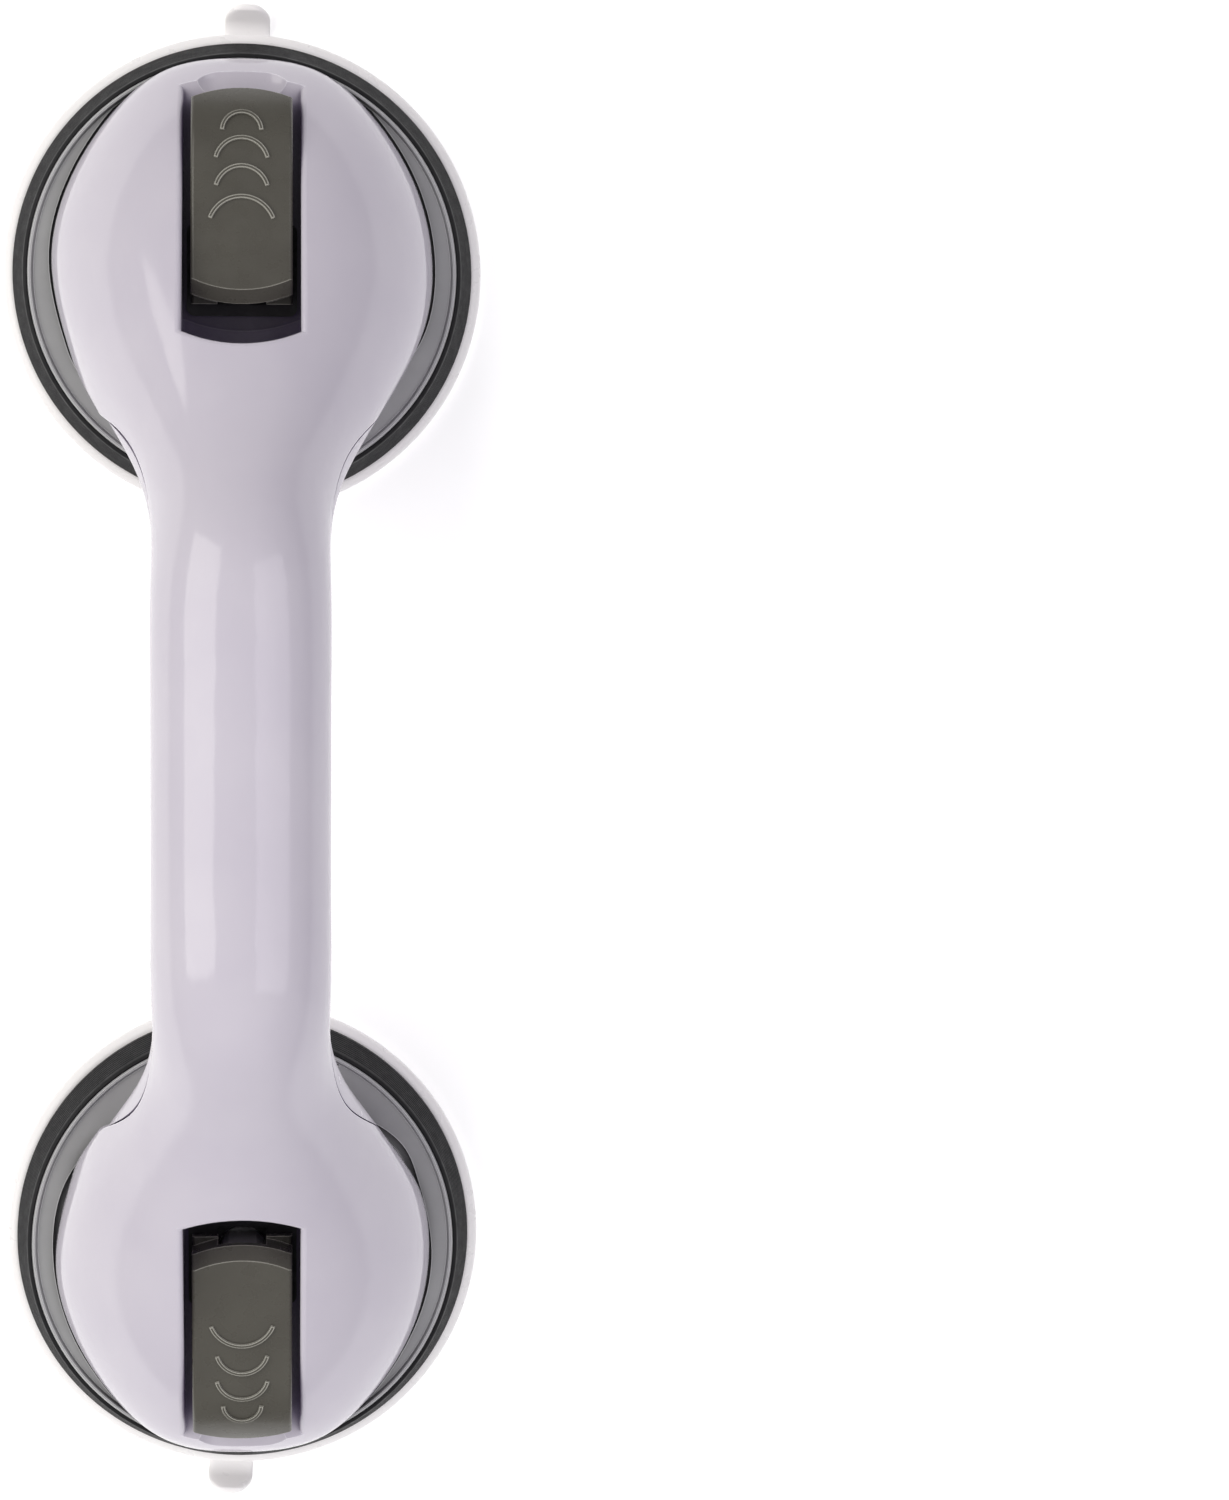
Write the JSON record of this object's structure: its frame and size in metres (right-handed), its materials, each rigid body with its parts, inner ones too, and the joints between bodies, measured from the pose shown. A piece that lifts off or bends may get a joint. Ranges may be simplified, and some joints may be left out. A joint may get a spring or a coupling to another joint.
{
  "type": "suction grab bar",
  "caption": "Arched two-shell grab handle on two round suction cups, each locked by a flip lever with a cam that draws up the pad.",
  "frame": {"origin": "on the wall plane that the pads stick to, midway between the cups", "axes": "+Z away from the wall, +Y along the bar towards the top cup, +X across the bar"},
  "size_m": [0.0928, 0.2942, 0.0811],
  "materials": {
    "shell_lavender": "glossy moulded plastic, pale lavender",
    "back_lavender": "glossy moulded plastic, pale lavender",
    "lever_grey": "satin moulded plastic, warm dark grey",
    "dish_grey": "satin moulded plastic, mid grey",
    "ring_rubber": "moulded rubber, near black",
    "clear_pad": "clear soft vinyl",
    "stem_plastic": "nylon, natural grey",
    "spring_steel": "drawn spring wire",
    "plate_steel": "pressed steel",
    "screw_steel": "zinc plated steel"
  },
  "bodies": {
    "handle": {"handle_front_shell": "shell_lavender", "handle_back_shell": "back_lavender", "shell_screws": "screw_steel", "suction_pad_top": "clear_pad", "cup_housing_top": "dish_grey", "rim_ring_top": "ring_rubber", "return_spring_top": "spring_steel", "cam_washer_top": "plate_steel", "housing_screws_top": "screw_steel", "suction_pad_bottom": "clear_pad", "cup_housing_bottom": "dish_grey", "rim_ring_bottom": "ring_rubber", "return_spring_bottom": "spring_steel", "cam_washer_bottom": "plate_steel", "housing_screws_bottom": "screw_steel"},
    "stem_top": {"pad_stem_top": "stem_plastic"},
    "lever_top": {"lever_top": "lever_grey", "pivot_pin_top": "plate_steel"},
    "stem_bottom": {"pad_stem_bottom": "stem_plastic"},
    "lever_bottom": {"lever_bottom": "lever_grey", "pivot_pin_bottom": "plate_steel"}
  },
  "joints": [
    {"name": "stem_top_lift", "type": "slide", "parent": "handle", "child": "stem_top", "axis": [0, 0, 1], "range_m": [-0.004, 0], "deforming": ["return_spring_top", "suction_pad_top"]},
    {"name": "lever_top_turn", "type": "hinge", "parent": "stem_top", "child": "lever_top", "pos_m": [0, 0.09475, 0.0355], "axis": [1, 0, 0], "range_deg": [0, 90]},
    {"name": "stem_bottom_lift", "type": "slide", "parent": "handle", "child": "stem_bottom", "axis": [0, 0, 1], "range_m": [-0.004, 0], "deforming": ["return_spring_bottom", "suction_pad_bottom"]},
    {"name": "lever_bottom_turn", "type": "hinge", "parent": "stem_bottom", "child": "lever_bottom", "pos_m": [0, -0.09475, 0.0355], "axis": [-1, 0, 0], "range_deg": [0, 90]}
  ],
  "couplings": [
    {"joint": "stem_top_lift", "follows": "lever_top_turn", "m_per_rad": -0.00254},
    {"joint": "stem_bottom_lift", "follows": "lever_bottom_turn", "m_per_rad": -0.00254}
  ]
}
